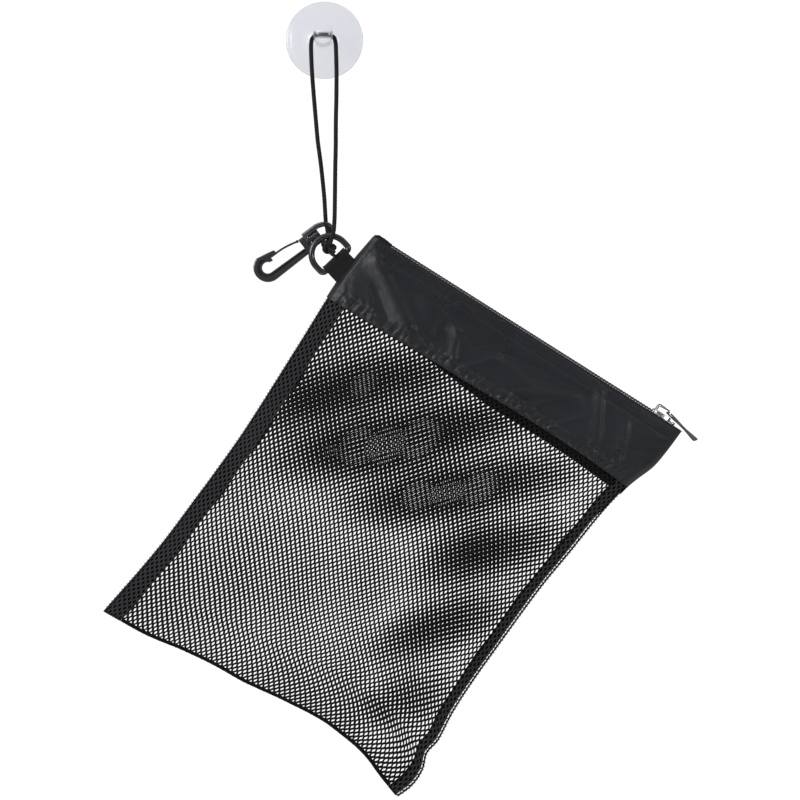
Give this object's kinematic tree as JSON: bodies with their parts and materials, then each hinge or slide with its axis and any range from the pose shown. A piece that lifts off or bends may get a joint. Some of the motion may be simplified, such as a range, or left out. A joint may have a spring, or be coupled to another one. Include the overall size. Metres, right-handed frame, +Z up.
{
  "type": "mesh shower bag",
  "caption": "Flat zipped net bag with a cloth header, hung by a loop of cord from a suction cup, with a D-ring and a swivelling snap hook.",
  "frame": {"origin": "centre of the suction cup's foot, on the face of the wall it sticks to", "axes": "+X to the right as seen by someone facing the wall, +Y into the wall, +Z up"},
  "size_m": [0.4152, 0.037, 0.5609],
  "materials": {
    "clear_pvc": "clear, smooth",
    "cord": "braided, dull",
    "ring_plastic": "glossy",
    "hook_plastic": "glossy",
    "webbing": "woven, dull",
    "taffeta": "fine plain weave, slight sheen",
    "net": "open warp-knit net",
    "zip_tape": "woven, dull",
    "coil": "satin",
    "chrome": "polished"
  },
  "bodies": {
    "cup": {"suction_cup": "clear_pvc"},
    "hanger": {"hang_cord": "cord", "cord_knot": "cord"},
    "ring": {"d_ring": "ring_plastic"},
    "bag": {"webbing_tab": "webbing", "header_front": "taffeta", "header_back": "taffeta", "mesh_front": "net", "mesh_back": "net", "side_seam_left": "net", "side_seam_right": "net", "bottom_seam": "net", "zip_tape_front": "zip_tape", "zip_tape_back": "zip_tape", "zip_coil_front": "coil", "zip_coil_back": "coil", "zip_top_stop_front": "chrome", "zip_top_stop_back": "chrome", "zip_bottom_stop": "chrome"},
    "slider": {"zip_slider": "chrome"},
    "pull": {"zip_pull": "chrome"},
    "bail": {"hook_bail": "hook_plastic"},
    "hook": {"hook_body": "hook_plastic"},
    "gate": {"hook_gate": "hook_plastic"}
  },
  "joints": [
    {"name": "cord_swing", "type": "hinge", "parent": "cup", "child": "hanger", "pos_m": [0, -0.02, 0], "axis": [-1, 0, 0], "range_deg": [0, 70]},
    {"name": "ring_swing", "type": "hinge", "parent": "hanger", "child": "ring", "pos_m": [0.00458, -0.02, -0.15345], "axis": [0, -1, 0], "range_deg": [-12, 22]},
    {"name": "tab_hinge", "type": "hinge", "parent": "ring", "child": "bag", "pos_m": [0.00898, -0.02, -0.1581], "axis": [-0.7266, 0, -0.6871], "range_deg": [-60, 60]},
    {"name": "zip_slide", "type": "slide", "parent": "bag", "child": "slider", "axis": [-0.8453, 0, 0.5344], "range_m": [0, 0.215]},
    {"name": "pull_hinge", "type": "hinge", "parent": "slider", "child": "pull", "pos_m": [0.24117, -0.02, -0.2641], "axis": [0, -1, 0], "range_deg": [0, 115]},
    {"name": "hook_swing", "type": "hinge", "parent": "hanger", "child": "bail", "pos_m": [0.002, -0.0138, -0.1331], "axis": [0, -1, 0], "range_deg": [-16, 25]},
    {"name": "hook_swivel", "type": "hinge", "parent": "bail", "child": "hook", "pos_m": [-0.01385, -0.0138, -0.14578], "axis": [0.7934, 0, 0.6088], "range_deg": [0, 180]},
    {"name": "gate_hinge", "type": "hinge", "parent": "hook", "child": "gate", "pos_m": [-0.01861, -0.0138, -0.14401], "axis": [0, -1, 0], "range_deg": [0, 20], "stiffness_Nm_per_rad": 0.02, "springref_deg": -5.73}
  ]
}
